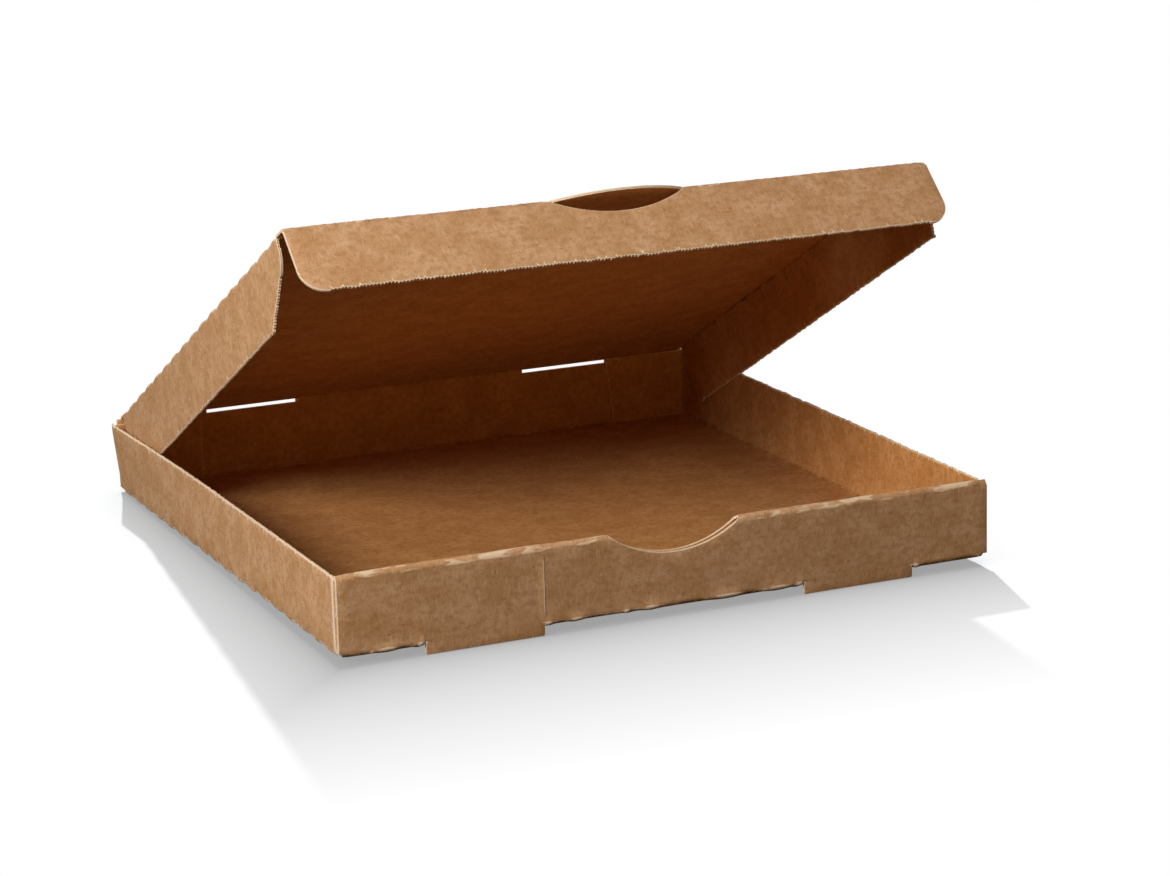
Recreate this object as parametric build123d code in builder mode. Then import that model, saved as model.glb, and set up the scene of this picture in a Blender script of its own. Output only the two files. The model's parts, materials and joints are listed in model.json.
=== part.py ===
"""Pizza box: one die-cut sheet of fluted kraft board, folded into a tray with a hinged, half-open lid."""

import os
from math import cos, radians, sin, sqrt

from build123d import *

os.makedirs("parts", exist_ok=True)

# Board and folds
board = 1.5
crease_inner_radius = 0.5
ply_gap = 0.2
hinge_gap = 0.25
overrun = 4.0

# Tray, over its outside faces, up to the top of the shut lid
tray_width = 330.0
tray_depth = 330.0
tray_height = 40.0
front_wall_drop = 1.8
side_wall_drop = 2.8

# Front wall: thumb notch, feet below the base and the inner ply that rolls over
notch_width = 68.0
notch_depth = 12.0
foot_inset = 41.0
foot_width = 58.0
foot_drop = 4.2
foot_corner_radius = 1.0
lock_tab_side_gap = 1.5
lock_tab_lift = 0.3
inner_ply_end_gap = 0.8

# Corner flaps, folded in from the side walls behind the front and rear walls
corner_flap_length = 49.0
corner_flap_taper = 4.0
corner_flap_top_drop = 1.2
corner_flap_floor_gap = 1.0

# Rear wall: the two slots that weaken the board under the lid's crease
hinge_slot_inset = 49.0
hinge_slot_width = 50.0
hinge_slot_height = 2.6
hinge_slot_strip = 1.4

# Lid, standing open as it was left, with the flaps on three of its edges
lid_open_angle = 27.7
lid_side_gap = 0.6
front_flap_flare = 20.0
front_flap_floor_gap = 1.75
front_flap_wall_gap = 0.6
front_flap_corner_radius = 12.0
thumb_tab_width = 67.0
thumb_tab_depth = 9.0
thumb_tab_gap = 0.45
side_flap_floor_gap = 1.75
side_flap_rear_setback = 6.0
side_flap_rear_slant = 9.0
side_flap_square_share = 0.36
side_flap_shoulder_radius = 15.0
side_flap_corner_radius = 6.0
left_flap_front_setback = 10.0
left_flap_front_slant = 26.0
right_flap_front_setback = 3.0
right_flap_front_slant = 3.0

# Places that follow from the sizes above
half_width = tray_width / 2
half_depth = tray_depth / 2
half_board = board / 2
crease_radius = crease_inner_radius + half_board
fold_radius = crease_inner_radius + board
ply_pitch = board + ply_gap
outer_ply_y = half_depth - half_board
corner_flap_y = outer_ply_y - ply_pitch
inner_ply_y = corner_flap_y - ply_pitch
wall_end_y = corner_flap_y - crease_radius
front_wall_top = tray_height - front_wall_drop
side_wall_top = tray_height - side_wall_drop
roll_start = front_wall_top - ply_pitch - half_board
hinge_y = outer_ply_y
hinge_z = tray_height - half_board
flap_start = half_board + hinge_gap
crease_x = half_width - board - lid_side_gap - half_board
side_flap_depth = hinge_z - board - side_flap_floor_gap
front_flap_depth = hinge_z - board - front_flap_floor_gap
flare_out = front_flap_depth * sin(radians(front_flap_flare)) + half_board * cos(radians(front_flap_flare))
flare_down = front_flap_depth * cos(radians(front_flap_flare)) - half_board * sin(radians(front_flap_flare))
# The flared flap's edge swings past the inside of the front wall as the lid shuts
swing_radius = hinge_y + inner_ply_y - half_board - front_flap_wall_gap
lid_depth = sqrt(swing_radius**2 - flare_down**2) - flare_out


def chord_radius(chord, depth):
    """Radius of the arc that spans a chord and bulges by a depth."""
    return (chord**2 / 4 + depth**2) / (2 * depth)


def rising_plane(origin, rise):
    """Plane of a panel that runs forward from its origin and climbs at an angle in degrees."""
    return Plane(origin=origin, x_dir=(1, 0, 0), z_dir=(0, sin(radians(rise)), cos(radians(rise))))


def wall_plane(inner_y):
    """Upright plane across the box; a panel drawn on it grows forward from this depth."""
    return Plane.XZ.offset(-inner_y)


# Tray: base, walls, roll-over front, corner flaps, feet and lock tabs in one folded sheet
with BuildPart() as tray:
    # The base with the two side walls turned up
    with BuildSketch(wall_plane(wall_end_y)):
        with BuildLine():
            FilletPolyline(
                (-half_width + half_board, side_wall_top),
                (-half_width + half_board, half_board),
                (half_width - half_board, half_board),
                (half_width - half_board, side_wall_top),
                radius=crease_radius,
            )
        trace(line_width=board)
    extrude(amount=2 * wall_end_y)

    # The base's front and rear edges, turned up into heels that carry the end walls
    for end in (-1, 1):
        with BuildSketch(Plane.YZ):
            with BuildLine():
                floor_run = Line(
                    (end * (wall_end_y - fold_radius), half_board),
                    (end * (half_depth - fold_radius), half_board),
                )
                JernArc(start=floor_run @ 1, tangent=floor_run % 1, radius=crease_radius, arc_size=end * 90)
            trace(line_width=board)
        extrude(amount=half_width - fold_radius, both=True)

    # Corner flaps, with their free ends cut on a slant
    flap_bottom = board + corner_flap_floor_gap
    flap_top = side_wall_top - corner_flap_top_drop
    for end in (-1, 1):
        for side in (-1, 1):
            flap_end_x = side * (half_width - corner_flap_length)
            with BuildSketch(Plane.XY.offset(flap_bottom)):
                with BuildLine():
                    FilletPolyline(
                        (side * (half_width - half_board), end * (wall_end_y - fold_radius)),
                        (side * (half_width - half_board), end * corner_flap_y),
                        (flap_end_x, end * corner_flap_y),
                        radius=crease_radius,
                    )
                trace(line_width=board)
            extrude(amount=flap_top - flap_bottom)
            with BuildSketch(wall_plane(end * corner_flap_y)):
                with BuildLine():
                    Polyline(
                        (flap_end_x, flap_top),
                        (flap_end_x, flap_bottom),
                        (flap_end_x + side * corner_flap_taper, flap_bottom),
                        close=True,
                    )
                make_face()
            extrude(amount=(board + ply_gap) / 2, both=True, mode=Mode.SUBTRACT)

    # Slots that the feet leave in the base
    slot_reach = half_depth - inner_ply_y + half_board + lock_tab_lift
    foot_x = half_width - foot_inset - foot_width / 2
    with BuildSketch(Plane.XY.offset(-overrun)):
        with Locations(*[(side * foot_x, -half_depth + slot_reach / 2) for side in (-1, 1)]):
            Rectangle(foot_width, slot_reach)
    extrude(amount=overrun + fold_radius, mode=Mode.SUBTRACT)

    # Outer ply of the front wall, with the feet hanging from it
    with BuildSketch(wall_plane(-half_depth + board)):
        with Locations((0, (fold_radius + roll_start) / 2)):
            Rectangle(tray_width, roll_start - fold_radius)
        for side in (-1, 1):
            with BuildLine():
                FilletPolyline(
                    (side * foot_x - foot_width / 2, fold_radius + board),
                    (side * foot_x - foot_width / 2, -foot_drop),
                    (side * foot_x + foot_width / 2, -foot_drop),
                    (side * foot_x + foot_width / 2, fold_radius + board),
                    radius=foot_corner_radius,
                )
                Line(
                    (side * foot_x - foot_width / 2, fold_radius + board),
                    (side * foot_x + foot_width / 2, fold_radius + board),
                )
            make_face()
    extrude(amount=board)

    # The roll over the top of the front wall
    inner_half_width = half_width - board - inner_ply_end_gap
    with BuildSketch(Plane.YZ):
        with BuildLine():
            JernArc(start=(-outer_ply_y, roll_start), tangent=(0, 1), radius=ply_pitch, arc_size=-180)
        trace(line_width=board)
    extrude(amount=inner_half_width, both=True)

    # Inner ply of the front wall, locked into the slots by its tabs
    inner_bottom = board + ply_gap
    lock_width = foot_width - 2 * lock_tab_side_gap
    with BuildSketch(wall_plane(-inner_ply_y + half_board)):
        with Locations((0, (inner_bottom + roll_start) / 2)):
            Rectangle(2 * inner_half_width, roll_start - inner_bottom)
        with Locations(*[(side * foot_x, (lock_tab_lift + inner_bottom + board) / 2) for side in (-1, 1)]):
            Rectangle(lock_width, inner_bottom + board - lock_tab_lift)
    extrude(amount=board)

    # Thumb notch through both plies and the roll
    notch_radius = chord_radius(notch_width, notch_depth)
    with BuildSketch(wall_plane(-inner_ply_y + half_board + hinge_gap)):
        with Locations((0, front_wall_top - notch_depth + notch_radius)):
            Circle(notch_radius)
    extrude(amount=half_depth - inner_ply_y + board + overrun, mode=Mode.SUBTRACT)

    # Rear wall with its slots, rounded along the lid's crease
    slot_x = half_width - hinge_slot_inset - hinge_slot_width / 2
    slot_z = hinge_z - hinge_slot_strip - hinge_slot_height / 2
    with BuildSketch(wall_plane(half_depth)):
        with Locations((0, (fold_radius + hinge_z) / 2)):
            Rectangle(tray_width, hinge_z - fold_radius)
        with Locations(*[(side * slot_x, slot_z) for side in (-1, 1)]):
            Rectangle(hinge_slot_width, hinge_slot_height, mode=Mode.SUBTRACT)
    extrude(amount=board)
    with BuildSketch(Plane.YZ):
        with Locations((hinge_y, hinge_z)):
            Circle(half_board)
    extrude(amount=half_width, both=True)
tray.part.label = "tray"
export_step(tray.part, "parts/tray.step")

# Lid: the top panel, rounded along its three creases, with the thumb tab left in its own plane
lid_plane = rising_plane((0, hinge_y, hinge_z), lid_open_angle)
thumb_tab_radius = chord_radius(thumb_tab_width, thumb_tab_depth)
with BuildPart() as lid:
    with BuildSketch(lid_plane.offset(-half_board)):
        with Locations((0, -(flap_start + lid_depth) / 2)):
            Rectangle(2 * crease_x, lid_depth - flap_start)
    extrude(amount=board)
    with Locations(lid_plane.location * Location((0, -lid_depth, 0))):
        Cylinder(radius=half_board, height=2 * crease_x, rotation=(0, 90, 0))
    for side in (-1, 1):
        with Locations(lid_plane.location * Location((side * crease_x, -(flap_start + lid_depth) / 2, 0))):
            Cylinder(radius=half_board, height=lid_depth - flap_start, rotation=(90, 0, 0))
    with BuildSketch(lid_plane.offset(-half_board)):
        with Locations((0, -lid_depth - thumb_tab_depth + thumb_tab_radius)):
            Circle(thumb_tab_radius)
        with Locations((0, -lid_depth - thumb_tab_depth / 2)):
            Rectangle(thumb_tab_width, thumb_tab_depth, mode=Mode.INTERSECT)
    extrude(amount=board)
lid.part.label = "lid"
export_step(lid.part, "parts/lid.step")

# Front flap: springs outward from square, with rounded corners and the notch that the thumb tab leaves
front_crease = lid_plane.from_local_coords((0, -lid_depth, 0))
front_flap_plane = rising_plane(front_crease, lid_open_angle - 90 + front_flap_flare)
with BuildPart() as lid_front_flap:
    with BuildSketch(front_flap_plane.offset(-half_board)) as flap_outline:
        with Locations((0, -(flap_start + front_flap_depth) / 2)):
            Rectangle(2 * (crease_x + half_board), front_flap_depth - flap_start)
        fillet(flap_outline.vertices().group_by(Axis.Y)[0], radius=front_flap_corner_radius)
        with Locations((0, thumb_tab_radius - thumb_tab_depth)):
            Circle(thumb_tab_radius + thumb_tab_gap, mode=Mode.SUBTRACT)
    extrude(amount=board)
lid_front_flap.part.label = "lid_front_flap"
export_step(lid_front_flap.part, "parts/lid_front_flap.step")


# Side flaps: hang square from the lid's side creases, just inside the tray's side walls. Their front edges
# start square to the crease, turn at a rounded shoulder and slant back, the left one much further
side_flap_shoulder = side_flap_square_share * side_flap_depth
for flap_name, side, front_setback, front_slant in (
    ("lid_left_flap", -1, left_flap_front_setback, left_flap_front_slant),
    ("lid_right_flap", 1, right_flap_front_setback, right_flap_front_slant),
):
    side_flap_front = lid_depth - front_setback
    # On this plane the first axis runs forward along the lid's edge and the second hangs below the lid
    side_flap_plane = Plane(
        origin=(side * crease_x, hinge_y, hinge_z),
        x_dir=(0, -cos(radians(lid_open_angle)), sin(radians(lid_open_angle))),
        z_dir=(1, 0, 0),
    )
    with BuildPart() as lid_side_flap:
        with BuildSketch(side_flap_plane.offset(-half_board)) as flap_outline:
            with BuildLine():
                Polyline(
                    (side_flap_rear_setback, flap_start),
                    (side_flap_front, flap_start),
                    (side_flap_front, side_flap_shoulder),
                    (side_flap_front - front_slant, side_flap_depth),
                    (side_flap_rear_setback + side_flap_rear_slant, side_flap_depth),
                    close=True,
                )
            make_face()
            fillet(flap_outline.vertices().group_by(Axis.Y)[1], radius=side_flap_shoulder_radius)
            fillet(flap_outline.vertices().group_by(Axis.Y)[-1], radius=side_flap_corner_radius)
        extrude(amount=board)
    lid_side_flap.part.label = flap_name
    export_step(lid_side_flap.part, f"parts/{flap_name}.step")
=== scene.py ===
"""Pizza box of folded kraft board: its sheets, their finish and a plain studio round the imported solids."""

import json
import math

import bmesh
import bpy
import numpy as np
from mathutils import Matrix, Vector, geometry, noise


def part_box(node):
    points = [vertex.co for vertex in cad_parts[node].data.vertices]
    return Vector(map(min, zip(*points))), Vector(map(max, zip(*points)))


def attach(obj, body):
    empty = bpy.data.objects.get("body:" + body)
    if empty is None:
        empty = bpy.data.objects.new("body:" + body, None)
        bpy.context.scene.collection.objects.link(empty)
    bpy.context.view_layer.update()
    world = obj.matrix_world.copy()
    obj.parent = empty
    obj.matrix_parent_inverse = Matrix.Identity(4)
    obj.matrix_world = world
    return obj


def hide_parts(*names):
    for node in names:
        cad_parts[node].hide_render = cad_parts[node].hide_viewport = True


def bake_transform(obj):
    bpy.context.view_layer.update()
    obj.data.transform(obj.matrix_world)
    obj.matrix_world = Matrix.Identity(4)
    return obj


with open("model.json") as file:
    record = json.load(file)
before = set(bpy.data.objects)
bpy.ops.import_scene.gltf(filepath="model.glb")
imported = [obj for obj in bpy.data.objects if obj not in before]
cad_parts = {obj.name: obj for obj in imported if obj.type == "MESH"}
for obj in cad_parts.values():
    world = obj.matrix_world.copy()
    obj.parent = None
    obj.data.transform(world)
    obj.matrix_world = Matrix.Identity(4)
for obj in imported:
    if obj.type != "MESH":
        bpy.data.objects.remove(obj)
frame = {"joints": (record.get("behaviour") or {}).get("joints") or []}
scene = bpy.context.scene
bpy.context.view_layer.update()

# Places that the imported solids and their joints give, in metres
joints = {joint["name"]: joint for joint in frame["joints"]}
tray_low, tray_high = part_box("tray")
half_width = tray_high.x
half_depth = tray_high.y
foot_drop = -tray_low.z
lid_half_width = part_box("lid_right_flap")[1].x
hinge = Vector(joints["lid_hinge"]["pos_m"])
front_crease = Vector(joints["front_flap_crease"]["pos_m"])
lid_forward = (front_crease - hinge).normalized()
lid_up = Vector((1, 0, 0)).cross(lid_forward) * -1
lid_depth = (front_crease - hinge).length
flap_flare = math.radians(-joints["front_flap_crease"]["range_deg"][0])

# Board and folds
board = 0.0015
flute_pitch = 0.0034
crease_radius = 0.00125
flap_crease_radius = 0.0009
ply_pitch = 0.0017
crease_reach = 0.0013
crease_fade = 0.0011

# Creases across the flutes are perforated: they bulge from one short cut to the next, and are painted pale
# there, as torn fibre and as a painted highlight on each bulge
perforation_pitch = 0.018
perforation_bulge = 0.0008
perforation_wear_and_highlight_share = 0.65

# Tray walls, notch, feet and lock tabs
front_wall_top = 0.0382
side_wall_top = 0.0372
notch_width = 0.068
notch_depth = 0.012
foot_inset = 0.041
foot_width = 0.058
foot_corner_radius = 0.001
lock_tab_side_gap = 0.0015
lock_tab_lift = 0.0003
inner_ply_lift = 0.0017
inner_ply_end_gap = 0.0008

# Corner flaps
corner_flap_length = 0.049
corner_flap_taper = 0.004
corner_flap_bottom = 0.0017
corner_flap_top = 0.036
corner_gap = 0.0002

# Slots under the lid's crease, and how far the rear wall's full width runs on past its top
hinge_slot_inset = 0.049
hinge_slot_width = 0.05
hinge_slot_height = 0.0019
hinge_slot_strip = 0.0014
ear_height = 0.0004

# Lid flaps and thumb tab; the left flap slants back further at its front end than the right one
flap_depth = 0.036
front_flap_corner_radius = 0.012
thumb_tab_width = 0.067
thumb_tab_depth = 0.009
thumb_tab_gap = 0.00045
side_flap_rear_setback = 0.003
side_flap_rear_slant = 0.009
side_flap_square_share = 0.36
side_flap_shoulder_radius = 0.015
side_flap_corner_radius = 0.006
flap_front_corner_radius = {-1: 0.006, 1: 0.0015}
flap_front_setback = {-1: 0.010, 1: 0.003}
flap_front_slant = {-1: 0.032, 1: 0.003}

# How the board was cut: some cuts wave from flute to flute and are ragged; the blade crushes and frays all
scallop_pitch = flute_pitch / 2
scallop_depth = 0.0006
scallop_step = 0.0003
rag_depth = 0.001
rag_length = 0.003
fray_width = 0.0006
fray_step = 0.001
crush_share = 0.25

# How the board has warped and worn since
swell_length = 0.085
swell_height = 0.0004
ripple_length = 0.016
ripple_height = 0.00022
left_wall_spring = 0.004
left_wall_spring_power = 1.5
right_wall_spring = 0.001
right_wall_rise = 0.0024
# Pale band where the side walls turn the front corners: rubbed fibre, and a painted highlight on the fold
corner_rub_and_highlight_width = 0.006
score_half_width = 0.0006
score_depth = 0.00025
nick_lift = 0.0005
nick_half_length = 0.0022

# Torn places along the front wall's bottom fold: the middle and half the length of each
bottom_nicks = [
    (-0.142, 0.006),
    (-0.050, 0.004),
    (-0.025, 0.002),
    (-0.0125, 0.0045),
    (0.026, 0.009),
    (0.053, 0.008),
]

# How fine the meshes are, and in how many batches their points are sorted
edge_step = 0.003
notch_step = 0.0012
grid_step = 0.005
fine_step = flute_pitch / 4
edge_clearance = 0.0011
bend_steps = 8
least_arc_steps = 4
batch_count = 40
sharp_corner = math.radians(40)
tolerance = 1e-7
triangles_inside = 1
place_decimals = 4

# Places that follow from the sizes above
half_board = board / 2
fold_radius = crease_radius + half_board
outer_ply_y = half_depth - half_board
corner_flap_y = outer_ply_y - ply_pitch
inner_ply_y = corner_flap_y - ply_pitch
wall_x = half_width - half_board
wall_end_y = corner_flap_y - crease_radius
base_edge = half_depth - fold_radius
heel_x = half_width - fold_radius
roll_middle = front_wall_top - half_board
foot_x = half_width - foot_inset - foot_width / 2
slot_reach = half_depth - inner_ply_y + half_board + lock_tab_lift
crease_x = lid_half_width - half_board
sides = (-1, 1)
x_axis, y_axis, z_axis = Matrix.Identity(3)
ground = Vector((0, 0, 0))


def chord_radius(chord, depth):
    """Radius of the arc that spans a chord and bulges by a depth."""
    return (chord**2 / 4 + depth**2) / (2 * depth)


notch_radius = chord_radius(notch_width, notch_depth)
thumb_tab_radius = chord_radius(thumb_tab_width, thumb_tab_depth)


class Section:
    """Middle line of a folded sheet, seen end on: straight runs and bends, measured along its length."""

    def __init__(self, corners, radii):
        corners = [Vector(corner) for corner in corners]
        self.runs = []
        self.length = 0.0
        self.point = corners[0]
        for before, corner, after, radius in zip(corners, corners[1:], corners[2:], radii):
            heading = (corner - before).normalized()
            turn = -heading.angle_signed((after - corner).normalized())
            cut = radius * math.tan(abs(turn) / 2)
            self.add_run((corner - self.point).length - cut, heading, 0.0)
            self.add_run(radius * abs(turn), heading, math.copysign(1 / radius, turn))
        self.add_run((corners[-1] - self.point).length, (corners[-1] - corners[-2]).normalized(), 0.0)

    def add_run(self, length, heading, curl):
        self.runs.append((self.length, length, self.point, heading, curl))
        self.length += length
        self.point = self.along(self.length)[0]

    def along(self, distance):
        """Point and heading at a distance along the section."""
        run = [run for run in self.runs if run[0] <= distance + tolerance][-1]
        start, _, point, heading, curl = run
        left = Vector((-heading.y, heading.x))
        travel = distance - start
        if curl == 0:
            return point + heading * travel, heading
        turn = travel * curl
        bent = point + (heading * math.sin(turn) + left * (1 - math.cos(turn))) / curl
        return bent, heading * math.cos(turn) + left * math.sin(turn)

    def bends(self):
        """Start, end and turning sense of each bend."""
        return [
            (start, start + length, math.copysign(1, curl)) for start, length, _, _, curl in self.runs if curl
        ]

    def crease(self, distance):
        """1 in a bend, fading to 0 beside it, with the bend's turning sense as its sign."""
        strongest = 0.0
        for start, end, sense in self.bends():
            outside = max(start - distance, distance - end, 0.0)
            strength = max(0.0, 1 - outside / crease_fade)
            if strength > abs(strongest):
                strongest = sense * strength
        return strongest

    def rows(self):
        """Distances at which a fine mesh has rows of points: close in the bends, wider on the flats."""
        stops = {0.0, self.length}
        for start, end, _ in self.bends():
            stops.update(np.linspace(start, end, bend_steps + 1))
            stops.update((start - crease_fade, end + crease_fade))
        stops = sorted(stop for stop in stops if 0 <= stop <= self.length)
        rows = []
        for low, high in zip(stops, stops[1:]):
            count = max(1, math.ceil((high - low) / grid_step))
            rows.extend(np.linspace(low, high, count, endpoint=False))
        return rows + [self.length]


def warp(across, along, crease):
    """How far the board stands off its true place: broad swells, and short ripples where it is creased."""
    swell = noise.noise(Vector((across / swell_length, along / swell_length, 0)))
    ripple = noise.noise(Vector((across / ripple_length, along / ripple_length, 1)))
    return swell * swell_height + ripple * ripple_height * abs(crease)


def spring_out(point):
    """The side walls lean outward towards their free tops, the left one most at its rear end, and the right
    one rides up towards the rear."""
    rise = max(0.0, point.z) / side_wall_top
    rearward = point.y / half_depth
    if point.x < 0:
        point.x -= left_wall_spring * rise * max(0.0, rearward) ** left_wall_spring_power
    else:
        point.x += right_wall_spring * rise * (1 - rearward**2)
        point.z += right_wall_rise * rise * (1 + rearward) / 2
    return point


def edge_points(ends, style):
    """Points along a cut, without its last end; a scalloped cut waves inward and is ragged."""
    start, end = Vector(ends[0]), Vector(ends[1])
    length = (end - start).length
    count = max(1, round(length / (scallop_step if style == "scalloped" else edge_step)))
    points = [start.lerp(end, step / count) for step in range(count)]
    if style == "scalloped":
        direction = (end - start) / length
        inward = Vector((-direction.y, direction.x))
        waves = max(1, round(length / scallop_pitch))
        for step, point in enumerate(points):
            phase = 2 * math.pi * waves * step / count
            ragged = 1 + noise.noise(point.to_3d() / rag_length)
            point += inward * (scallop_depth * (1 - math.cos(phase)) + rag_depth * ragged) / 2
    return points


def arc_points(centre, radius, start, end):
    """Points on an arc between two angles in radians."""
    count = max(least_arc_steps, math.ceil(abs(end - start) * radius / (edge_step / 2)))
    angles = np.linspace(start, end, count + 1)
    return [(centre[0] + radius * math.cos(angle), centre[1] + radius * math.sin(angle)) for angle in angles]


def rounded_corner(before, corner, after, radius):
    """Points on the arc that rounds a corner between its two neighbours."""
    corner = Vector(corner)
    toward = (Vector(before) - corner).normalized()
    onward = (Vector(after) - corner).normalized()
    half_angle = toward.angle(onward) / 2
    centre = corner + (toward + onward).normalized() * radius / math.sin(half_angle)
    first = corner + toward * radius / math.tan(half_angle) - centre
    last = corner + onward * radius / math.tan(half_angle) - centre
    start = math.atan2(first.y, first.x)
    return arc_points(centre, radius, start, start - first.angle_signed(last))


def loop_of(corners):
    """Closed outline from (point, style of the cut that leaves it) pairs: dense points and their styles."""
    points, styles = [], []
    for (start, style), (end, _) in zip(corners, corners[1:] + corners[:1]):
        run = edge_points((start, end), style)
        points.extend(run)
        styles.extend([style] * len(run))
    return points, styles


def cut_along(points):
    """Corners of an outline that is cut from point to point."""
    return [(point, "cut") for point in points]


def inside(points, starts, ends):
    """Which points lie inside the outlines, by counting the cuts that a ray crosses."""
    x, y = points[:, None, 0], points[:, None, 1]
    crosses = (starts[None, :, 1] > y) != (ends[None, :, 1] > y)
    rise = np.where(ends[:, 1] == starts[:, 1], 1.0, ends[:, 1] - starts[:, 1])
    where = starts[None, :, 0] + (y - starts[None, :, 1]) * (ends[:, 0] - starts[:, 0]) / rise
    return (crosses & (x < where)).sum(1) % 2 == 1


def clear_of(points, starts, ends, clearance):
    """Which points keep clear of every cut."""
    run = ends - starts
    share = ((points[:, None] - starts[None]) * run).sum(2) / (run**2).sum(1)
    nearest = starts + np.clip(share, 0, 1)[..., None] * run
    return ((points[:, None] - nearest) ** 2).sum(2).min(1) > clearance**2


def fray_line(points, styles):
    """Places a little way in from an outline's cuts, on both hands, where the fray of the cut edge ends."""
    points = np.array([tuple(point) for point in points])
    run = np.roll(points, -1, 0) - np.roll(points, 1, 0)
    normal = np.stack([-run[:, 1], run[:, 0]], 1) / np.linalg.norm(run, axis=1)[:, None]
    places, last = [], None
    for index, point in enumerate(points):
        if "seam" in (styles[index], styles[index - 1]):
            continue
        if last is None or np.linalg.norm(point - last) > fray_step:
            places.extend((point + normal[index] * fray_width, point - normal[index] * fray_width))
            last = point
    return places


# Places of the finishes on a piece
liner_finish, edge_finish = 0, 1


class Piece:
    """One visible piece, gathered from folded sheets of board with real thickness and cut edges."""

    def __init__(self):
        self.points = []
        self.faces = []
        self.finishes = []
        self.blank = []
        self.creases = []
        self.wear_and_highlight = []

    def add_sheet(self, loops, columns, rows, place, inner_face=1):
        """Cuts a sheet to its outlines and folds it. columns gives the places of the points in a row, place a
        flat point's middle, normal, crease, wear with its painted highlights, and spot on the blank, and
        inner_face the hand of its inner liner."""
        cuts, styles, edges, frays = [], [], [], []
        for points, loop_styles in loops:
            first = len(cuts)
            cuts.extend(tuple(point) for point in points)
            styles.extend(loop_styles)
            edges.extend((first + i, first + (i + 1) % len(points)) for i in range(len(points)))
            frays.extend(fray_line(points, loop_styles))
        starts = np.array([cuts[i] for i, _ in edges])
        ends = np.array([cuts[j] for _, j in edges])
        flat = [Vector(cut) for cut in cuts]
        for part in np.array_split(np.array(frays), batch_count):
            kept = inside(part, starts, ends) & clear_of(part, starts, ends, fray_width / 2)
            flat.extend(Vector(point) for point in part[kept])
        for row in rows:
            line = np.array([(column, row) for column in columns(row)])
            kept = inside(line, starts, ends) & clear_of(line, starts, ends, edge_clearance)
            flat.extend(Vector(point) for point in line[kept])
        result = geometry.delaunay_2d_cdt(flat, edges, [], triangles_inside, tolerance)
        flat, links, triangles, _, sources, _ = result
        style_of = {frozenset(link): styles[source[0]] for link, source in zip(links, sources) if source}
        middles = np.array([sum((flat[i] for i in triangle), Vector((0, 0))) / 3 for triangle in triangles])
        kept = np.concatenate([inside(part, starts, ends) for part in np.array_split(middles, batch_count)])
        triangles = [triangle for triangle, keep in zip(triangles, kept) if keep]
        self.fold(flat, triangles, style_of, place, inner_face)

    def fold(self, flat, triangles, style_of, place, inner_face):
        """Gives a flat sheet its folds and its thickness, and closes it along its cuts."""
        first = len(self.points)
        cut_points = {index for link, style in style_of.items() if style != "seam" for index in link}
        normals = []
        for index, (across, along) in enumerate(flat):
            middle, normal, crease, wear_and_highlight, blank = place(across, along)
            half = half_board * (1 - crush_share) if index in cut_points else half_board
            normals.append(normal)
            for face in sides:
                self.points.append(middle + normal * half * face)
                self.blank.append((*blank, half * face * inner_face))
                self.creases.append(-crease * face)
                self.wear_and_highlight.append(1.0 if index in cut_points else wear_and_highlight)
        rims = {}
        for triangle in triangles:
            a, b, c = (self.points[first + 2 * i + 1] for i in triangle)
            if (b - a).cross(c - a).dot(normals[triangle[0]]) < 0:
                triangle = triangle[::-1]
            self.add_face([first + 2 * i + 1 for i in triangle], liner_finish)
            self.add_face([first + 2 * i for i in triangle[::-1]], liner_finish)
            for i, j in zip(triangle, (*triangle[1:], triangle[0])):
                if (j, i) in rims:
                    del rims[(j, i)]
                else:
                    rims[(i, j)] = True
        for i, j in rims:
            if style_of.get(frozenset((i, j))) != "seam":
                rim = [first + 2 * k + face for k, face in ((j, 1), (i, 1), (i, 0), (j, 0))]
                self.add_face(rim, edge_finish)

    def add_face(self, corners, finish):
        self.faces.append(corners)
        self.finishes.append(finish)

    def finish(self, name, node, finishes):
        """Makes the mesh object, with its flat-blank coordinates, creases, and wear with its painted
        highlights, kept for the finishes.
        """
        mesh = bpy.data.meshes.new(name)
        mesh.from_pydata(self.points, [], self.faces)
        mesh.attributes.new("blank", "FLOAT_VECTOR", "POINT").data.foreach_set("vector", np.ravel(self.blank))
        mesh.attributes.new("crease", "FLOAT", "POINT").data.foreach_set("value", self.creases)
        mesh.attributes.new("wear_and_highlight", "FLOAT", "POINT").data.foreach_set("value", self.wear_and_highlight)
        mesh.polygons.foreach_set("material_index", self.finishes)
        for finish in finishes:
            mesh.materials.append(finish)
        sheet = bmesh.new()
        sheet.from_mesh(mesh)
        for face in sheet.faces:
            face.smooth = True
        for edge in sheet.edges:
            kinds = {face.material_index for face in edge.link_faces}
            corner = len(edge.link_faces) == 2 and edge.calc_face_angle() > sharp_corner
            edge.smooth = len(kinds) == 1 and not (corner and kinds == {edge_finish})
        sheet.to_mesh(mesh)
        sheet.free()
        piece = bpy.data.objects.new(name, mesh)
        scene.collection.objects.link(piece)
        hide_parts(node)
        return piece


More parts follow.
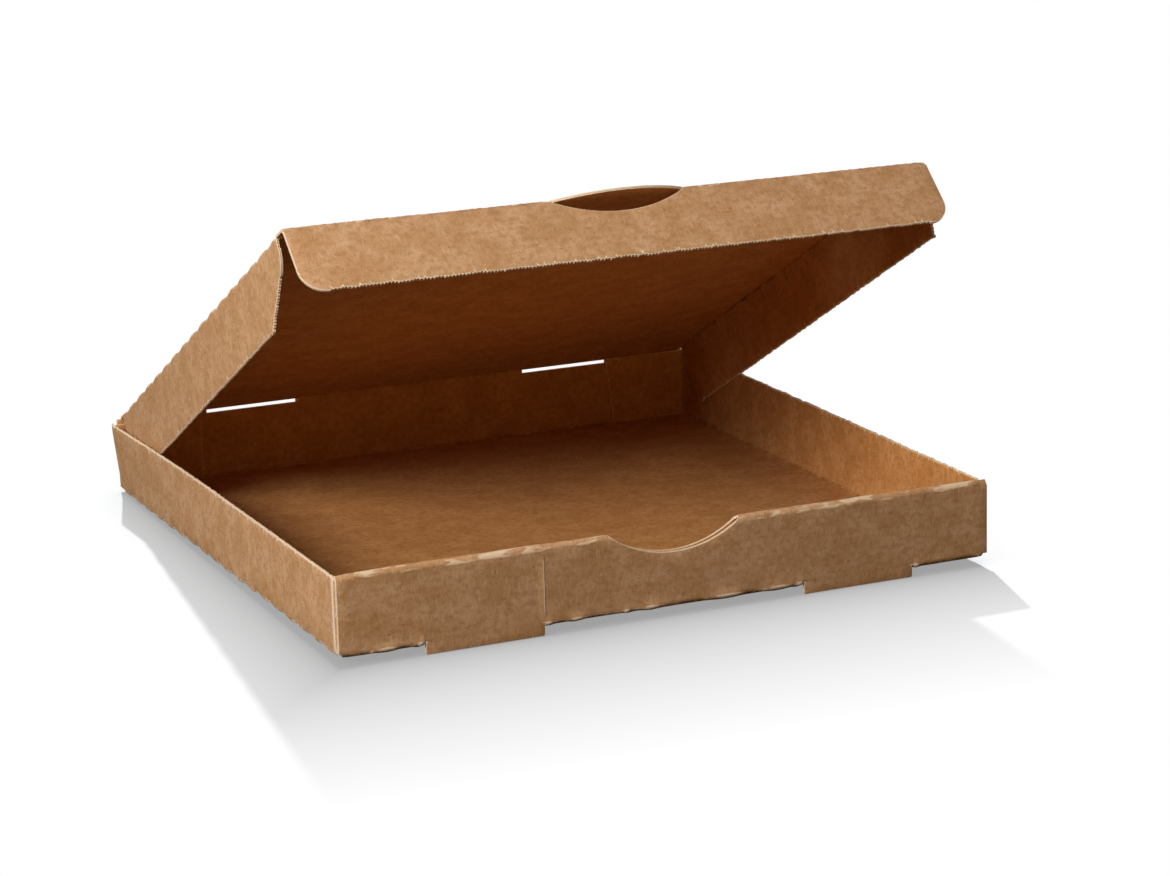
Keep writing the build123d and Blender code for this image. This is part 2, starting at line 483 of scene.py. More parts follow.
def folded(section, axes, blank, settle=None, perforated=False, damage=None):
    """Places the points of a sheet that is folded on parallel creases, which may be perforated. axes are its
    origin, the direction of its creases and the two directions of its section; settle moves a point as the
    board has sprung, and damage gives its crease, lift, and wear with its painted highlights."""
    origin, along, across, up = axes

    def place(run, distance):
        point, heading = section.along(distance)
        middle = origin + along * run + across * point.x + up * point.y
        normal = across * -heading.y + up * heading.x
        spot = blank(run, distance)
        crease, lift, wear_and_highlight = damage(run, distance) if damage else (section.crease(distance), 0.0, 0.0)
        lift += warp(*spot, crease)
        if perforated:
            bulge = abs(math.sin(math.pi * spot[1] / perforation_pitch))
            lift += crease * perforation_bulge * (1 - bulge)
            # Painted pale at each bulge of a perforated crease: torn fibre, and a painted highlight
            wear_and_highlight = max(wear_and_highlight, abs(crease) * (1 - bulge) * perforation_wear_and_highlight_share)
        middle = middle + normal * lift
        return (settle(middle) if settle else middle), normal, crease, wear_and_highlight, spot

    return place


def evenly(low, high, step):
    """Evenly spaced places across a sheet."""
    return np.linspace(low, high, round((high - low) / step) + 1)


def columns_of(low, high, extra=()):
    """The same places across a sheet in each of its rows, none of them twice."""
    places = sorted({round(place, place_decimals) for place in [*evenly(low, high, grid_step), *extra]})
    return lambda row: places


def fluted_columns(section, low, high):
    """Places across a sheet, close together in the rows where a crease crosses the flutes."""
    coarse, fine = evenly(low, high, grid_step), evenly(low, high, fine_step)
    return lambda row: fine if section.crease(row) else coarse


def add_base_and_side_walls(tray):
    """Base with the two side walls turned up, in one sheet folded on its two side creases; returns how far
    from the sheet's middle the walls reach."""
    section = Section(
        [(-wall_x, side_wall_top), (-wall_x, half_board), (wall_x, half_board), (wall_x, side_wall_top)],
        [crease_radius] * 2,
    )
    left_bend, right_bend = section.bends()
    middle = section.length / 2
    base_start, base_end = left_bend[1], right_bend[0]
    flap_low = section.length - side_wall_top + corner_flap_bottom
    flap_high = section.length - side_wall_top + corner_flap_top
    slot_end = -half_depth + slot_reach
    corners = [((wall_end_y, 0.0), "cut")]
    # Along the rear end, from the left wall's top to the right wall's
    rear = [
        (wall_end_y, section.length - flap_high, "seam"),
        (wall_end_y, section.length - flap_low, "cut"),
        (wall_end_y, section.length - flap_low + corner_gap, "cut"),
        (base_edge, section.length - flap_low + corner_gap, "cut"),
        (base_edge, base_start, "seam"),
        (base_edge, base_end, "cut"),
        (base_edge, flap_low - corner_gap, "cut"),
        (wall_end_y, flap_low - corner_gap, "cut"),
        (wall_end_y, flap_low, "seam"),
        (wall_end_y, flap_high, "cut"),
    ]
    corners += [((y, distance), style) for y, distance, style in rear]
    corners.append(((wall_end_y, section.length), "scalloped"))
    # Back along the front end, round the slots that the feet leave
    corners.append(((-wall_end_y, section.length), "cut"))
    corners += [
        ((-wall_end_y, flap_high), "seam"),
        ((-wall_end_y, flap_low), "cut"),
        ((-wall_end_y, base_end), "cut"),
        ((-base_edge, base_end), "seam"),
    ]
    for side in reversed(sides):
        near = middle + side * foot_x + foot_width / 2
        far = near - foot_width
        corners += [
            ((-base_edge, near), "cut"),
            ((slot_end, near), "cut"),
            ((slot_end, far), "cut"),
            ((-base_edge, far), "seam"),
        ]
    corners += [
        ((-base_edge, base_start), "cut"),
        ((-wall_end_y, base_start), "cut"),
        ((-wall_end_y, section.length - flap_low), "seam"),
        ((-wall_end_y, section.length - flap_high), "cut"),
        ((-wall_end_y, 0.0), "scalloped"),
    ]

    def damage(y, distance):
        """Crease, lift and wear of a point; the walls are painted pale where they turn the front corners,
        as rubbed fibre and as a painted highlight on the fold.
        """
        on_base = base_start < distance < base_end
        # Painted pale near the front corners: rubbed fibre, and a painted highlight on the fold
        rub_and_highlight = 0.0 if on_base else max(0.0, 1 - (y + wall_end_y) / corner_rub_and_highlight_width)
        return section.crease(distance), 0.0, rub_and_highlight

    place = folded(
        section,
        (ground, y_axis, x_axis, z_axis),
        lambda y, distance: (distance - middle, y),
        damage=damage,
        settle=spring_out,
        perforated=True,
    )
    columns = fluted_columns(section, -half_depth, half_depth)
    tray.add_sheet([loop_of(corners)], columns, section.rows(), place)
    return middle


def add_corner_flaps(tray, wall_reach):
    """Flaps folded in from the side walls' ends, with slanted free ends."""
    for end in sides:
        for side in sides:
            section = Section(
                [
                    (side * wall_x, end * wall_end_y),
                    (side * wall_x, end * corner_flap_y),
                    (side * (half_width - corner_flap_length), end * corner_flap_y),
                ],
                [crease_radius],
            )
            corners = [
                ((corner_flap_bottom, 0.0), "cut"),
                ((corner_flap_bottom, section.length - corner_flap_taper), "cut"),
                ((corner_flap_top, section.length), "cut"),
                ((corner_flap_top, 0.0), "seam"),
            ]

            def blank(z, distance, side=side, end=end):
                return side * (wall_reach - side_wall_top + z), end * (wall_end_y + distance)

            place = folded(section, (ground, z_axis, x_axis, y_axis), blank, settle=spring_out)
            columns = columns_of(corner_flap_bottom, corner_flap_top)
            tray.add_sheet([loop_of(corners)], columns, section.rows(), place, inner_face=end * side)


def notch_loop(roll_top):
    """Lens that the thumb notch cuts from the rolled front wall, laid flat round the top of the roll."""
    reach = math.sqrt(notch_radius**2 - (notch_radius - notch_depth + half_board) ** 2)
    steps = round(2 * reach / notch_step)
    outer, inner = [], []
    for step in range(steps):
        x = reach * (2 * step / steps - 1)
        drop = notch_depth - half_board - notch_radius + math.sqrt(notch_radius**2 - x**2)
        round_the_roll = ply_pitch * math.acos(max(0.0, 1 - drop / ply_pitch))
        down = round_the_roll + max(0.0, drop - ply_pitch)
        outer.append(Vector((x, roll_top - down)))
        inner.append(Vector((-x, roll_top + down)))
    return outer + inner, ["cut"] * (2 * steps)


# Wear of the front wall: nicks where its bottom fold tore, and a score that runs up from the left foot's edge
score_x = -foot_x + foot_width / 2
nicks = list(bottom_nicks)
for foot in sides:
    for edge in sides:
        nicks.append((foot * foot_x + edge * (foot_width / 2 + nick_half_length), nick_half_length))


def add_front_wall(tray):
    """Front wall: heel, outer ply, the roll over the top and the inner ply with its lock tabs."""
    section = Section(
        [
            (base_edge, half_board),
            (outer_ply_y, half_board),
            (outer_ply_y, roll_middle),
            (inner_ply_y, roll_middle),
            (inner_ply_y, inner_ply_lift - lock_tab_lift),
        ],
        [crease_radius, ply_pitch, ply_pitch],
    )
    heel, outer_roll, _ = section.bends()
    inner_x = half_width - board - inner_ply_end_gap
    tab_end = section.length
    ply_end = tab_end - (inner_ply_lift - lock_tab_lift)
    tab_half = foot_width / 2 - lock_tab_side_gap
    corners = [((-heel_x, 0.0), "seam")]
    for side in sides:
        low, high = side * foot_x - foot_width / 2, side * foot_x + foot_width / 2
        corners += [
            ((low, 0.0), "cut"),
            ((low, heel[1]), "seam"),
            ((high, heel[1]), "cut"),
            ((high, 0.0), "seam"),
        ]
    corners += [
        ((heel_x, 0.0), "cut"),
        ((heel_x, heel[1]), "cut"),
        ((half_width, heel[1]), "cut"),
        ((half_width, outer_roll[1]), "cut"),
        ((inner_x, outer_roll[1]), "cut"),
        ((inner_x, ply_end), "cut"),
    ]
    for side in reversed(sides):
        near, far = side * foot_x + tab_half, side * foot_x - tab_half
        corners += [
            ((near, ply_end), "cut"),
            ((near, tab_end), "cut"),
            ((far, tab_end), "cut"),
            ((far, ply_end), "cut"),
        ]
    corners += [
        ((-inner_x, ply_end), "cut"),
        ((-inner_x, outer_roll[1]), "cut"),
        ((-half_width, outer_roll[1]), "cut"),
        ((-half_width, heel[1]), "cut"),
        ((-heel_x, heel[1]), "cut"),
    ]

    def damage(x, distance):
        """Crease, lift and wear of a point on the front wall, which runs straight down into its feet."""
        at_heel = distance < outer_roll[0] / 2
        over_foot = any(abs(x - side * foot_x) < foot_width / 2 for side in sides)
        fold = 0.0 if at_heel and over_foot else section.crease(distance)
        score = max(0.0, 1 - abs(x - score_x) / score_half_width) if fold == 0 else 0.0
        pale_mark = max(max(0.0, 1 - ((x - centre) / reach) ** 2) for centre, reach in nicks)
        pale_mark = pale_mark * fold if at_heel else 0.0
        return fold, -score_depth * score - nick_lift * pale_mark, max(score, pale_mark)

    place = folded(
        section,
        (ground, x_axis, -y_axis, z_axis),
        lambda x, distance: (x, -base_edge - distance),
        damage=damage,
    )
    extra = [score_x + step * score_half_width for step in (-1, 0, 1)]
    for centre, reach in nicks:
        extra.extend(np.linspace(centre - reach, centre + reach, bend_steps + 1))
    columns = columns_of(-half_width, half_width, extra)
    tray.add_sheet([loop_of(corners), notch_loop(outer_roll[1])], columns, section.rows(), place)
    add_feet(tray, heel[1])


def add_feet(tray, heel_end):
    """Feet that stay in the front wall's plane where they are cut out of the base."""
    section = Section([(outer_ply_y, -foot_drop), (outer_ply_y, fold_radius)], [])
    for side in sides:
        low, high = side * foot_x - foot_width / 2, side * foot_x + foot_width / 2
        radius = foot_corner_radius
        round_low = arc_points((low + radius, radius), radius, math.pi, 1.5 * math.pi)
        round_high = arc_points((high - radius, radius), radius, -math.pi / 2, 0)
        corners = cut_along(round_low + round_high)
        corners += [((high, section.length), "seam"), ((low, section.length), "cut")]
        place = folded(
            section,
            (ground, x_axis, -y_axis, z_axis),
            lambda x, distance: (x, -base_edge - heel_end + section.length - distance),
        )
        tray.add_sheet([loop_of(corners)], columns_of(low, high), section.rows(), place)


def add_rear_wall(tray):
    """Rear wall with the slots under the lid's crease; returns how far along the blank it ends."""
    section = Section(
        [(base_edge, half_board), (outer_ply_y, half_board), (outer_ply_y, hinge.z - crease_reach)],
        [crease_radius],
    )
    heel = section.bends()[0]
    corners = [
        ((-heel_x, 0.0), "seam"),
        ((heel_x, 0.0), "cut"),
        ((heel_x, heel[1]), "cut"),
        ((half_width, heel[1]), "cut"),
        ((half_width, section.length), "seam"),
        ((-half_width, section.length), "cut"),
        ((-half_width, heel[1]), "cut"),
        ((-heel_x, heel[1]), "cut"),
    ]
    loops = [loop_of(corners)]
    slot_high = section.length + crease_reach - hinge_slot_strip
    slot_low = slot_high - hinge_slot_height
    for side in sides:
        near = side * (half_width - hinge_slot_inset)
        far = near - side * hinge_slot_width
        slot = [(near, slot_low), (far, slot_low), (far, slot_high), (near, slot_high)]
        loops.append(loop_of(cut_along(slot)))
    place = folded(
        section, (ground, x_axis, y_axis, z_axis), lambda x, distance: (x, base_edge + distance)
    )
    tray.add_sheet(loops, columns_of(-half_width, half_width), section.rows(), place)
    return base_edge + section.length


def make_lid(lid, blank_start):
    """Lid panel with its thumb tab, from the rear wall's top across the hinge crease; returns how far along
    the blank the lid begins."""
    end = hinge + lid_forward * (lid_depth + thumb_tab_depth)
    section = Section(
        [(outer_ply_y, hinge.z - crease_reach), (hinge.y, hinge.z), (end.y, end.z)],
        [crease_radius],
    )
    lid_start = section.length - lid_depth - thumb_tab_depth
    front = lid_start + lid_depth - crease_reach
    seam_x = crease_x - crease_reach
    flap_rear = lid_start + side_flap_rear_setback
    flap_front = {side: lid_start + lid_depth - flap_front_setback[side] for side in sides}
    tab_x = thumb_tab_width / 2
    tab_angle = math.asin(tab_x / thumb_tab_radius)
    tab_centre = (0, section.length - thumb_tab_radius)
    arc = arc_points(tab_centre, thumb_tab_radius, math.pi / 2 - tab_angle, math.pi / 2 + tab_angle)
    corners = [
        ((-half_width, 0.0), "seam"),
        ((half_width, 0.0), "cut"),
        ((half_width, ear_height), "cut"),
        ((lid_half_width, ear_height), "cut"),
        ((lid_half_width, flap_rear), "cut"),
        ((seam_x, flap_rear), "seam"),
        ((seam_x, flap_front[1]), "cut"),
        ((lid_half_width, flap_front[1]), "cut"),
        ((lid_half_width, front), "seam"),
        ((tab_x, front), "cut"),
    ]
    corners += cut_along(arc)
    corners += [
        ((-tab_x, front), "seam"),
        ((-lid_half_width, front), "cut"),
        ((-lid_half_width, flap_front[-1]), "cut"),
        ((-seam_x, flap_front[-1]), "seam"),
        ((-seam_x, flap_rear), "cut"),
        ((-lid_half_width, flap_rear), "cut"),
        ((-lid_half_width, ear_height), "cut"),
        ((-half_width, ear_height), "cut"),
    ]
    place = folded(
        section, (ground, x_axis, y_axis, z_axis), lambda x, distance: (x, blank_start + distance)
    )
    lid.add_sheet([loop_of(corners)], columns_of(-half_width, half_width), section.rows(), place)
    return blank_start + lid_start


def make_front_flap(flap, blank_hinge):
    """Front flap, sprung out from square, with rounded corners and the notch that the thumb tab leaves."""
    swing = math.pi / 2 - flap_flare
    section = Section(
        [(-crease_reach, 0), (0, 0), (flap_depth * math.cos(swing), -flap_depth * math.sin(swing))],
        [flap_crease_radius],
    )
    crease_at = sum(section.bends()[0][:2]) / 2
    tab_x = thumb_tab_width / 2
    hole_radius = thumb_tab_radius + thumb_tab_gap
    hole_angle = math.asin((tab_x + thumb_tab_gap) / hole_radius)
    hole_centre = (0, crease_at + thumb_tab_depth - thumb_tab_radius)
    hole = arc_points(hole_centre, hole_radius, math.pi / 2 + hole_angle, math.pi / 2 - hole_angle)
    radius = front_flap_corner_radius
    edge_x, depth = lid_half_width, section.length
    right = arc_points((edge_x - radius, depth - radius), radius, 0, math.pi / 2)
    left = arc_points((-edge_x + radius, depth - radius), radius, math.pi / 2, math.pi)
    corners = [((-edge_x, 0.0), "seam"), ((-tab_x - thumb_tab_gap, 0.0), "cut")]
    corners += cut_along(hole)
    corners += [((tab_x + thumb_tab_gap, 0.0), "seam"), ((edge_x, 0.0), "cut")]
    corners += cut_along(right[:-1]) + [(right[-1], "scalloped")] + cut_along(left)
    place = folded(
        section,
        (front_crease, x_axis, lid_forward, lid_up),
        lambda x, distance: (x, blank_hinge + lid_depth + distance - crease_reach),
    )
    flap.add_sheet([loop_of(corners)], columns_of(-edge_x, edge_x), section.rows(), place, inner_face=-1)


def make_side_flap(flap, side, blank_hinge):
    """Side flap that hangs square from the lid's side crease; its front edge starts square, turns at a
    rounded shoulder and slants back."""
    middle_line = [(crease_x - crease_reach, 0), (crease_x, 0), (crease_x, -flap_depth)]
    section = Section(middle_line, [flap_crease_radius])
    crease_at = section.bends()[0][1]
    depth = section.length
    shoulder = depth - flap_depth + side_flap_square_share * flap_depth
    rear, front = side_flap_rear_setback, lid_depth - flap_front_setback[side]
    top_front = (front, crease_at)
    turn = (front, shoulder)
    low_front = (front - flap_front_slant[side], depth)
    low_rear = (rear + side_flap_rear_slant, depth)
    top_rear = (rear, crease_at)
    # Listed with the sheet on the left hand of the cut, so that scallops wave inward
    corners = [((rear, 0.0), "seam"), ((front, 0.0), "cut"), (top_front, "scalloped")]
    for before, corner, after, radius in (
        (top_front, turn, low_front, side_flap_shoulder_radius),
        (turn, low_front, low_rear, flap_front_corner_radius[side]),
        (low_front, low_rear, top_rear, side_flap_corner_radius),
    ):
        arc = rounded_corner(before, corner, after, radius)
        corners += cut_along(arc[:-1]) + [(arc[-1], "scalloped")]
    corners += [(top_rear, "cut")]
    place = folded(
        section,
        (hinge, lid_forward, side * x_axis, lid_up),
        lambda run, distance: (side * (crease_x - crease_reach + distance), blank_hinge + run),
        perforated=True,
    )
    columns = fluted_columns(section, rear, front)
    flap.add_sheet([loop_of(corners)], columns, section.rows(), place, inner_face=-1)


# Finishes
def linear(code):
    """An sRGB hex colour as the linear values that shaders take."""
    shares = [int(code[start : start + 2], 16) / 255 for start in (1, 3, 5)]
    return (*[s / 12.92 if s <= 0.04045 else ((s + 0.055) / 1.055) ** 2.4 for s in shares], 1.0)


def repeats(size_mm):
    """Scale of a pattern, on coordinates in metres, whose features are so many millimetres wide."""
    return 1000 / size_mm


def add(tree, kind, inputs=None, **settings):
    """Adds a node with its settings; each input takes a value, or links from a socket."""
    node = tree.nodes.new(kind)
    for name, value in settings.items():
        setattr(node, name, value)
    for name, value in (inputs or {}).items():
        if isinstance(value, bpy.types.NodeSocket):
            tree.links.new(value, node.inputs[name])
        else:
            node.inputs[name].default_value = value
    return node


def new_material(name):
    """A material with an empty node tree."""
    material = bpy.data.materials.new(name)
    material.use_nodes = True
    material.node_tree.nodes.clear()
    return material, material.node_tree


# Places of the colour sockets on a mix node
mix_factor, mix_first, mix_second, mix_result = 0, 6, 7, 2


def flute_wave(tree, spot):
    """Wave of the fluting, from -1 to 1, at a spot on the blank."""
    turns = {0: spot.outputs["Y"], 1: 2 * math.pi / flute_pitch}
    phase = add(tree, "ShaderNodeMath", turns, operation="MULTIPLY").outputs[0]
    return add(tree, "ShaderNodeMath", {0: phase}, operation="SINE").outputs[0]


def paint_layers(tree, colour, layers):
    """Lays colours over a colour. Each layer has what drives it, where it starts and is full, its largest
    share and its colour."""
    for driver, start, full, largest_share, code in layers:
        limits = {"From Min": start, "From Max": full, "To Min": 0.0, "To Max": largest_share}
        factor = add(tree, "ShaderNodeMapRange", {"Value": driver, **limits}, interpolation_type="SMOOTHSTEP")
        inks = {mix_factor: factor.outputs["Result"], mix_first: colour, mix_second: linear(code)}
        colour = add(tree, "ShaderNodeMix", inks, data_type="RGBA").outputs[mix_result]
    return colour


def kraft_liner():
    """Unbleached kraft liner, machine-made paper: matt, warm brown, clouded by uneven pulp, with pale fibres,
    dark specks, faint ribs over the flutes, and pale broken fibre where it was creased, cut or scuffed. Its
    folds carry painted light: a painted highlight with the broken fibre on their outer side, and painted
    shade on their inner side. The inner liner is a more golden paper."""
    material, tree = new_material("kraft_liner")
    sheet = add(tree, "ShaderNodeAttribute", attribute_name="blank").outputs["Vector"]
    crease = add(tree, "ShaderNodeAttribute", attribute_name="crease").outputs["Fac"]
    wear_and_highlight = add(tree, "ShaderNodeAttribute", attribute_name="wear_and_highlight").outputs["Fac"]
    # Patterns of the paper: millimetres along the flutes, across them and through the board, and detail. Its
    # grain, fibres and specks are drawn coarser than they are, so that they show in the render
    pattern = {}
    for name, sizes_mm, detail in (
        ("cloud", (16, 13, 13), 3.0),
        ("mottle", (3.4, 2.8, 2.8), 3.0),
        ("grain", (0.9, 1.1, 1.1), 2.0),
        ("fibre", (0.7, 5.0, 5.0), 2.0),
        ("speck", (1.2, 1.2, 1.2), 1.0),
        ("fold_breakup", (9.0, 2.0, 2.0), 4.0),
        ("tear", (0.8, 0.8, 0.8), 2.0),
    ):
        scales = [repeats(size) for size in sizes_mm]
        scaled = add(tree, "ShaderNodeVectorMath", {0: sheet, 1: scales}, operation="MULTIPLY")
        spots = add(tree, "ShaderNodeTexNoise", {"Vector": scaled.outputs[0], "Scale": 1.0, "Detail": detail})
        pattern[name] = spots.outputs["Fac"]
    spot = add(tree, "ShaderNodeSeparateXYZ", {0: sheet})
    rib = flute_wave(tree, spot)
    # Scuffed fibre along the folds, which on their outer side also stands for a painted highlight
    rub_and_highlight = add(tree, "ShaderNodeMath", {0: crease, 1: pattern["fold_breakup"]}, operation="MULTIPLY").outputs[0]
    # Pale torn fibre at cuts, nicks and scores, and the painted highlights at perforated folds and front
    # corners
    pale_mark = add(tree, "ShaderNodeMath", {0: wear_and_highlight, 1: pattern["tear"]}, operation="ADD").outputs[0]
    layers = (
        (pattern["cloud"], 0.36, 0.64, 1.0, "#C19164"),
        (pattern["mottle"], 0.42, 0.70, 0.6, "#AE7B4B"),
        (pattern["grain"], 0.45, 0.72, 0.35, "#A5774A"),
        (pattern["fibre"], 0.54, 0.72, 0.4, "#DDB98F"),
        (pattern["speck"], 0.64, 0.76, 0.5, "#8C5E36"),
        (rib, 0.2, 1.0, 0.06, "#A5774A"),
        # Painted shade: darker on the inner side of each fold, in its hollow
        (crease, -0.2, -1.0, 0.4, "#7A4E28"),
        (rub_and_highlight, -0.46, -0.62, 0.5, "#E2BF95"),
        # Pale broken fibre on the outer side of each fold, with a painted highlight along it
        (rub_and_highlight, 0.47, 0.60, 0.85, "#EBCFAB"),
        # Pale torn fibre, with the painted highlights that ride on the same wear
        (pale_mark, 0.85, 1.4, 0.9, "#F3DCBC"),
    )
    colour = paint_layers(tree, linear("#CFA177"), layers)
    inner = add(tree, "ShaderNodeMath", {0: spot.outputs["Z"], 1: 0.0}, operation="GREATER_THAN").outputs[0]
    inks = {mix_factor: inner, mix_first: colour, mix_second: linear("#FFECC6")}
    colour = add(tree, "ShaderNodeMix", inks, data_type="RGBA", blend_type="MULTIPLY").outputs[mix_result]
    rib_share = 0.1
    ribs = {0: rib, 1: rib_share, 2: pattern["mottle"]}
    relief = add(tree, "ShaderNodeMath", ribs, operation="MULTIPLY_ADD").outputs[0]
    relief_depth = 0.00025
    bump = add(tree, "ShaderNodeBump", {"Height": relief, "Strength": 0.4, "Distance": relief_depth})
    paper = {"Base Color": colour, "Roughness": 0.85, "Specular IOR Level": 0.2, "Normal": bump.outputs[0]}
    surface = add(tree, "ShaderNodeBsdfPrincipled", paper)
    add(tree, "ShaderNodeOutputMaterial", {"Surface": surface.outputs[0]})
    return material


def cut_board_edge():
    """Die-cut edge of single-wall board: two pale torn liners, and the arches of the fluting between them,
    with painted shade in the hollows beside the arches.
    """
    material, tree = new_material("cut_board_edge")
    sheet = add(tree, "ShaderNodeAttribute", attribute_name="blank").outputs["Vector"]
    spot = add(tree, "ShaderNodeSeparateXYZ", {0: sheet})
    arch_height = 0.0003
    liner_start, liner_full = 0.00030, 0.00042
    web_half, web_fade = 0.0001, 0.0003
    lowered = {0: flute_wave(tree, spot), 1: -arch_height, 2: spot.outputs["Z"]}
    off_web = add(tree, "ShaderNodeMath", lowered, operation="MULTIPLY_ADD").outputs[0]
    off_web = add(tree, "ShaderNodeMath", {0: off_web}, operation="ABSOLUTE").outputs[0]
    off_middle = add(tree, "ShaderNodeMath", {0: spot.outputs["Z"]}, operation="ABSOLUTE").outputs[0]
    tear_mm = 0.9
    tear = add(tree, "ShaderNodeTexNoise", {"Vector": sheet, "Scale": repeats(tear_mm), "Detail": 3.0})
    layers = (
        # Painted shade in the flutes' hollows, darker away from the web
        (off_web, web_half, web_fade, 0.55, "#B58C60"),
        (off_middle, liner_start, liner_full, 1.0, "#FBEBD3"),
        (tear.outputs["Fac"], 0.45, 0.75, 0.5, "#D2AC80"),
    )
    colour = paint_layers(tree, linear("#E9CFAC"), layers)
    tear_depth = 0.0003
    relief = {"Height": tear.outputs["Fac"], "Strength": 0.5, "Distance": tear_depth}
    bump = add(tree, "ShaderNodeBump", relief)
    fibre = {"Base Color": colour, "Roughness": 0.92, "Specular IOR Level": 0.15, "Normal": bump.outputs[0]}
    surface = add(tree, "ShaderNodeBsdfPrincipled", fibre)
    add(tree, "ShaderNodeOutputMaterial", {"Surface": surface.outputs[0]})
    return material


# The box
finishes = [kraft_liner(), cut_board_edge()]

tray = Piece()
wall_reach = add_base_and_side_walls(tray)
add_corner_flaps(tray, wall_reach)
add_front_wall(tray)
blank_rear = add_rear_wall(tray)
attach(tray.finish("folded_tray", "tray", finishes), "tray")

lid = Piece()
blank_hinge = make_lid(lid, blank_rear)
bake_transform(lid.finish("lid_panel", "lid", finishes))

front_flap = Piece()
make_front_flap(front_flap, blank_hinge)
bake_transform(front_flap.finish("front_flap", "lid_front_flap", finishes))

for side, name in zip(sides, ("left", "right")):
    side_flap = Piece()
    make_side_flap(side_flap, side, blank_hinge)
    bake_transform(side_flap.finish(f"{name}_flap", f"lid_{name}_flap", finishes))


# Studio: a pale floor that the feet and the base's rear edge stand on, soft lamps and the photograph's view
floor_half_span = 3.0
floor_gap = 0.0002
floor_rise = foot_drop / (base_edge + half_depth)
floor_corners = []
for x, y in ((-1, -1), (1, -1), (1, 1), (-1, 1)):
    floor_z = floor_rise * (y * floor_half_span - base_edge) - floor_gap
    floor_corners.append((x * floor_half_span, y * floor_half_span, floor_z))
floor_mesh = bpy.data.meshes.new("floor")
floor_mesh.from_pydata(floor_corners, [], [(0, 1, 2, 3)])
floor = bpy.data.objects.new("floor", floor_mesh)
scene.collection.objects.link(floor)


def white_paper_sweep():
    """White paper sweep: matt, grey in the box's shadow. For the camera its colour darkens close to the box,
    a painted contact shade, and it glows white more the further it lies from the box, a painted light that
    fades the shade into the white background. To light that it reflects it is a dull grey, so that the box's
    own shade stays deep."""
    material, tree = new_material("white_paper_sweep")
    shade_reach = 0.16
    least_white = 0.35
    contact_reach = 0.05
    contact_samples = 16
    far_side_steepness = 4.0
    path = add(tree, "ShaderNodeLightPath")
    place = add(tree, "ShaderNodeSeparateXYZ", {0: add(tree, "ShaderNodeNewGeometry").outputs["Position"]})
    away = None
    # How far a point lies past each side of the box; the painted white glow covers the shade sooner on the
    # right and behind
    for axis, sense, edge, steepness in (
        ("X", -1.0, half_width, 1.0),
        ("X", 1.0, half_width, far_side_steepness),
        ("Y", -1.0, half_depth, 1.0),
        ("Y", 1.0, half_depth, far_side_steepness),
    ):
        terms = {0: place.outputs[axis], 1: sense * steepness, 2: -edge * steepness}
        past = add(tree, "ShaderNodeMath", terms, operation="MULTIPLY_ADD").outputs[0]
        if away is not None:
            past = add(tree, "ShaderNodeMath", {0: away, 1: past}, operation="MAXIMUM").outputs[0]
        away = past
    # The painted white glow grows quickly close to the box and slowly further out, and lightens the shade
    # even under the box
    beyond = add(tree, "ShaderNodeMath", {0: away, 1: 0.0}, operation="MAXIMUM").outputs[0]
    slowing = add(tree, "ShaderNodeMath", {0: beyond}, operation="SQRT").outputs[0]
    limits = {"From Max": math.sqrt(shade_reach), "To Min": least_white}
    white_share = add(tree, "ShaderNodeMapRange", {"Value": slowing, **limits})
    shown = {0: white_share.outputs["Result"], 1: path.outputs["Is Camera Ray"]}
    seen_white = add(tree, "ShaderNodeMath", shown, operation="MULTIPLY").outputs[0]
    # Painted contact shade: the paper's own colour darkens where the box hides it from its surroundings
    contact = add(tree, "ShaderNodeAmbientOcclusion", {"Distance": contact_reach}, samples=contact_samples)
    tones = {mix_factor: contact.outputs["AO"], mix_first: linear("#54585C"), mix_second: linear("#747474")}
    near = add(tree, "ShaderNodeMix", tones, data_type="RGBA").outputs[mix_result]
    paper = {mix_factor: path.outputs["Is Camera Ray"], mix_first: linear("#202020"), mix_second: near}
    paper = add(tree, "ShaderNodeMix", paper, data_type="RGBA").outputs[mix_result]
    matt = add(tree, "ShaderNodeBsdfDiffuse", {"Color": paper})
    white = add(tree, "ShaderNodeEmission", {"Color": linear("#FFFFFF"), "Strength": 1.0})
    surface = add(tree, "ShaderNodeMixShader", {0: seen_white, 1: matt.outputs[0], 2: white.outputs[0]})
    add(tree, "ShaderNodeOutputMaterial", {"Surface": surface.outputs[0]})
    return material


floor_mesh.materials.append(white_paper_sweep())


def add_lamp(name, kind, power, turn):
    """A lamp of the given kind and power, turned to where it shines."""
    lamp = bpy.data.objects.new(name, bpy.data.lights.new(name, kind))
    lamp.data.energy = power
    lamp.rotation_mode = "QUATERNION"
    lamp.rotation_quaternion = turn
    scene.collection.objects.link(lamp)
    return lamp


# Square soft lamps, each with its place, size in metres, watts and colour: a low key from the left, one
# overhead, a weak warm one low in front that opens the inside, and weak ones for the right side and the back
lamp_target = Vector((0, 0, 0.05))
for name, lamp_place, size, watts, code in (
    ("key", (-1.15, -0.60, 0.68), 0.4, 16.6, "#FFFFFF"),
    ("top", (-0.3, -0.45, 1.45), 1.0, 6.2, "#FFFFFF"),
    ("front", (-0.4, -1.9, 0.35), 0.8, 2.2, "#FFC464"),
    ("side", (1.5, -0.6, 0.9), 1.0, 4.0, "#FFFFFF"),
    ("back", (0.6, 1.5, 0.9), 1.2, 8.0, "#FFFFFF"),
):
    turn = (lamp_target - Vector(lamp_place)).to_track_quat("-Z", "Y")
    lamp = add_lamp(name, "AREA", watts, turn)
    lamp.location = lamp_place
    lamp.data.size = size
    lamp.data.color = linear(code)[:3]
    lamp.visible_camera = False

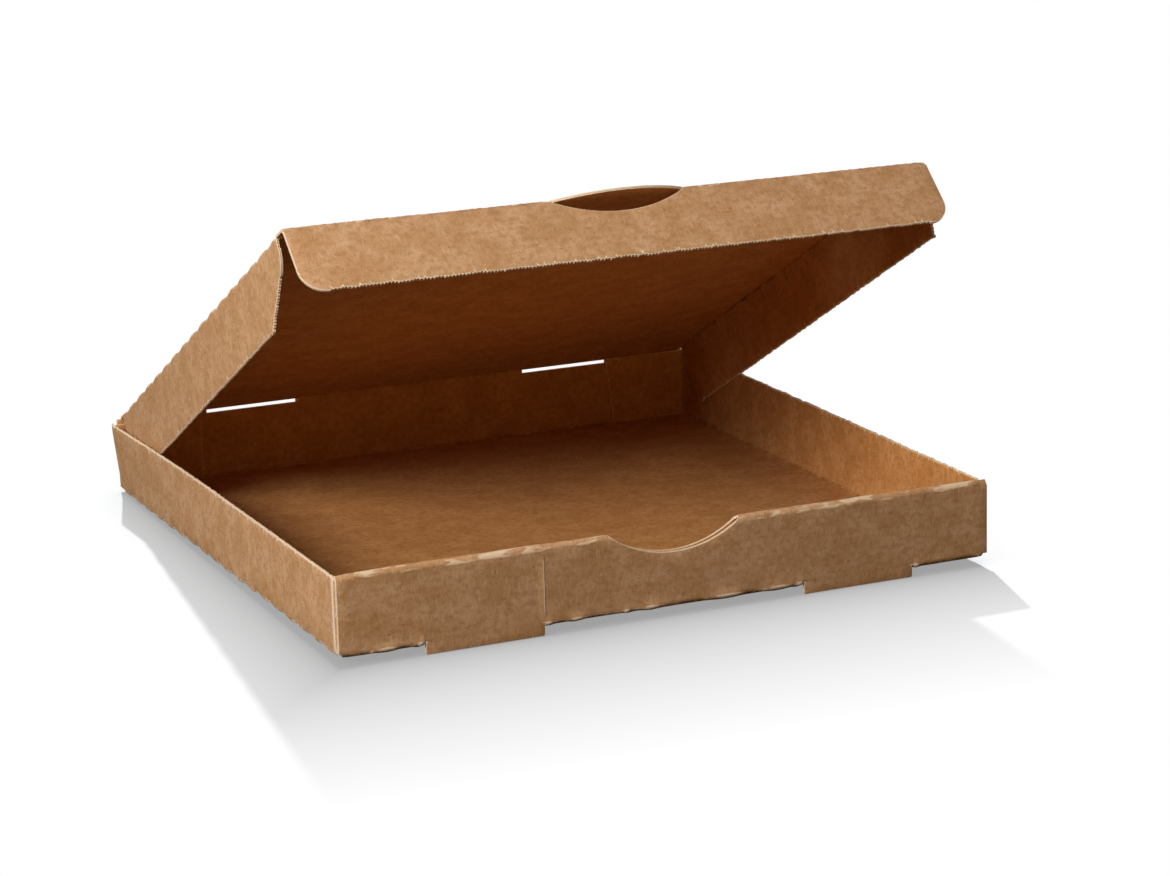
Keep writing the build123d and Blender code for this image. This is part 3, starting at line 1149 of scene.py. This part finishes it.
# A far hard lamp, behind the box on the right, throws its shadow forward; it lights the floor alone
far_lamp_direction = Vector((0.395, 1.6, 1.0))
far_lamp_strength = 34.0
far_lamp_width = math.radians(1.5)
floor_alone = bpy.data.collections.new("floor_alone")
floor_alone.objects.link(floor)
far_lamp = add_lamp("far", "SUN", far_lamp_strength, far_lamp_direction.to_track_quat("Z", "Y"))
far_lamp.data.angle = far_lamp_width
far_lamp.light_linking.receiver_collection = floor_alone

world = bpy.data.worlds.new("studio")
scene.world = world
world.use_nodes = True
sky = world.node_tree
sky.nodes.clear()
fill_strength = 0.012
path = add(sky, "ShaderNodeLightPath")
seen = path.outputs["Is Camera Ray"]
for ray in ("Is Glossy Ray", "Is Transmission Ray"):
    seen = add(sky, "ShaderNodeMath", {0: seen, 1: path.outputs[ray]}, operation="MAXIMUM").outputs[0]
fill = add(sky, "ShaderNodeBackground", {"Color": linear("#FFFFFF"), "Strength": fill_strength})
white = add(sky, "ShaderNodeBackground", {"Color": linear("#FFFFFF"), "Strength": 1.0})
shown = add(sky, "ShaderNodeMixShader", {0: seen, 1: fill.outputs[0], 2: white.outputs[0]})
add(sky, "ShaderNodeOutputWorld", {"Surface": shown.outputs[0]})

# Camera, fitted to the photograph's corners of the tray
image_width = 1170
focal_pixels = 3354.9
sensor_width = 36.0
camera_place = (-0.6381, -1.4943, 0.4521)
camera_azimuth = math.radians(-24.082)
camera_elevation = math.radians(14.144)
camera_roll = math.radians(1.497)
back = Vector(
    (
        math.sin(camera_azimuth) * math.cos(camera_elevation),
        -math.cos(camera_azimuth) * math.cos(camera_elevation),
        math.sin(camera_elevation),
    )
)
level_right = z_axis.cross(back).normalized()
level_up = back.cross(level_right)
camera_right = level_right * math.cos(camera_roll) - level_up * math.sin(camera_roll)
camera_turn = Matrix((camera_right, back.cross(camera_right), back)).transposed().to_4x4()
camera_data = bpy.data.cameras.new("camera")
camera_data.sensor_width = sensor_width
camera_data.lens = focal_pixels / image_width * sensor_width
camera = bpy.data.objects.new("camera", camera_data)
camera.matrix_world = Matrix.Translation(camera_place) @ camera_turn
scene.collection.objects.link(camera)
scene.camera = camera
scene.view_settings.view_transform = "Standard"
